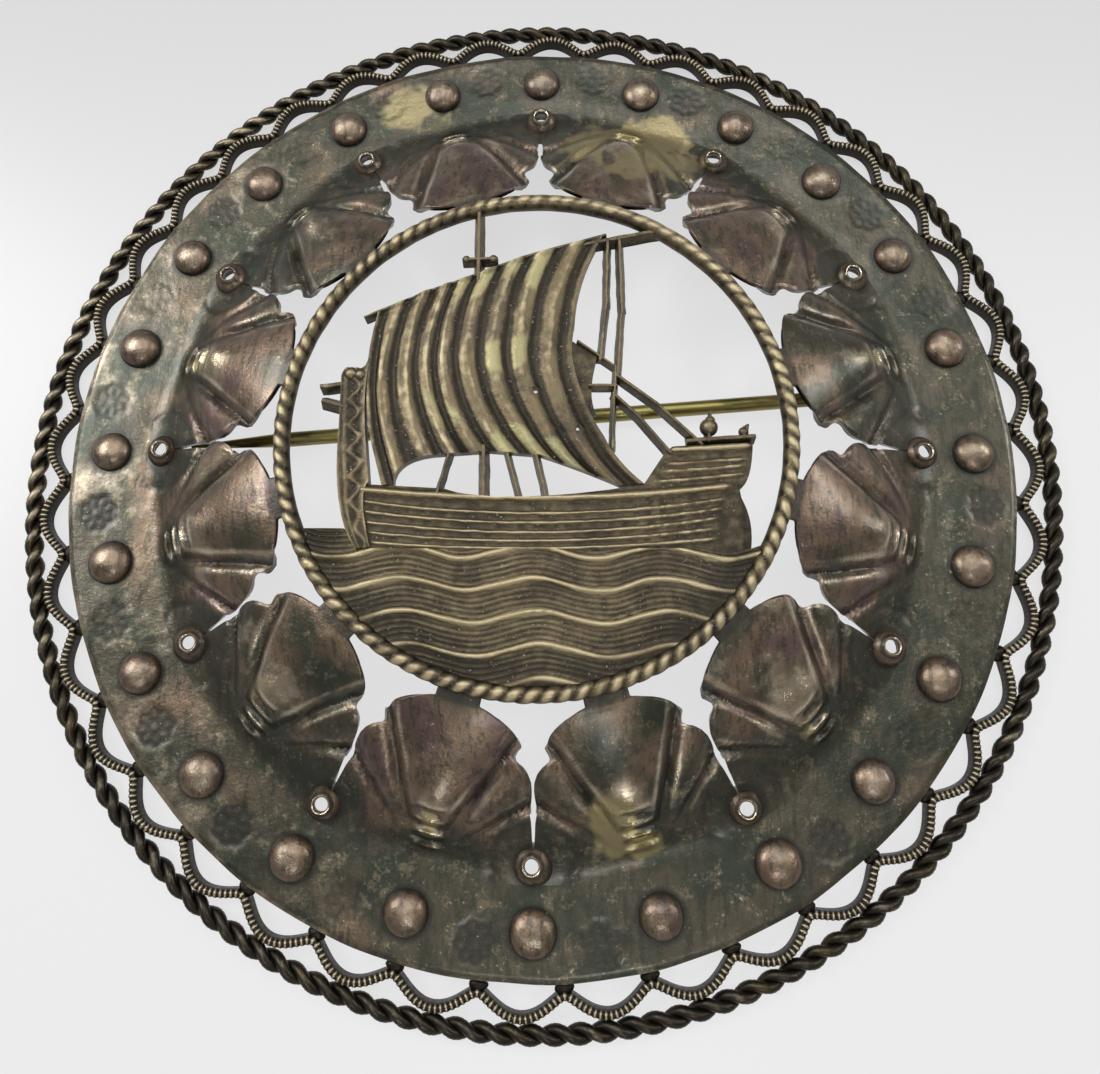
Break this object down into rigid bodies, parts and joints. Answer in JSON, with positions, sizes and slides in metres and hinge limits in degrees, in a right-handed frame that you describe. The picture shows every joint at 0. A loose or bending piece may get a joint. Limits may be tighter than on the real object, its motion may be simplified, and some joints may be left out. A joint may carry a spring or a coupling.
{
  "type": "ship brooch",
  "caption": "Round openwork brooch: a cast sailing ship in a rope ring, raised on pierced petals inside a bossed disc, waved wire and rope border, with a hinged pin.",
  "frame": {"origin": "centre of the rope border, on the table that the brooch lies on", "axes": "+X to the right and +Y to the top of the picture, +Z out of the front, away from the wearer"},
  "size_m": [0.076, 0.076, 0.0087],
  "materials": {
    "tarnished_silver_plate": "tarnished silver sheet, grey-olive with purple-brown and pale rubbed patches",
    "blackened_silver_wire": "oxidised silver wire, bronze-black, rubbed brighter on its crests",
    "cast_silver": "cast silver, khaki highlights over near-black recesses",
    "pin_brass": "dull olive brass"
  },
  "bodies": {
    "brooch": {"rosette_plate": "tarnished_silver_plate", "milled_wire": "blackened_silver_wire", "rope_border": "blackened_silver_wire", "ship_medallion": "cast_silver", "pin_hinge": "tarnished_silver_plate", "hinge_rivet": "pin_brass", "pin_catch": "tarnished_silver_plate"},
    "pin": {"pin_stem": "pin_brass"}
  },
  "joints": [
    {"name": "pin_swing", "type": "hinge", "parent": "brooch", "child": "pin", "pos_m": [0.0233, 0.00468, 0.00095], "axis": [0.0816, -0.9967, 0], "range_deg": [0, 75]}
  ]
}
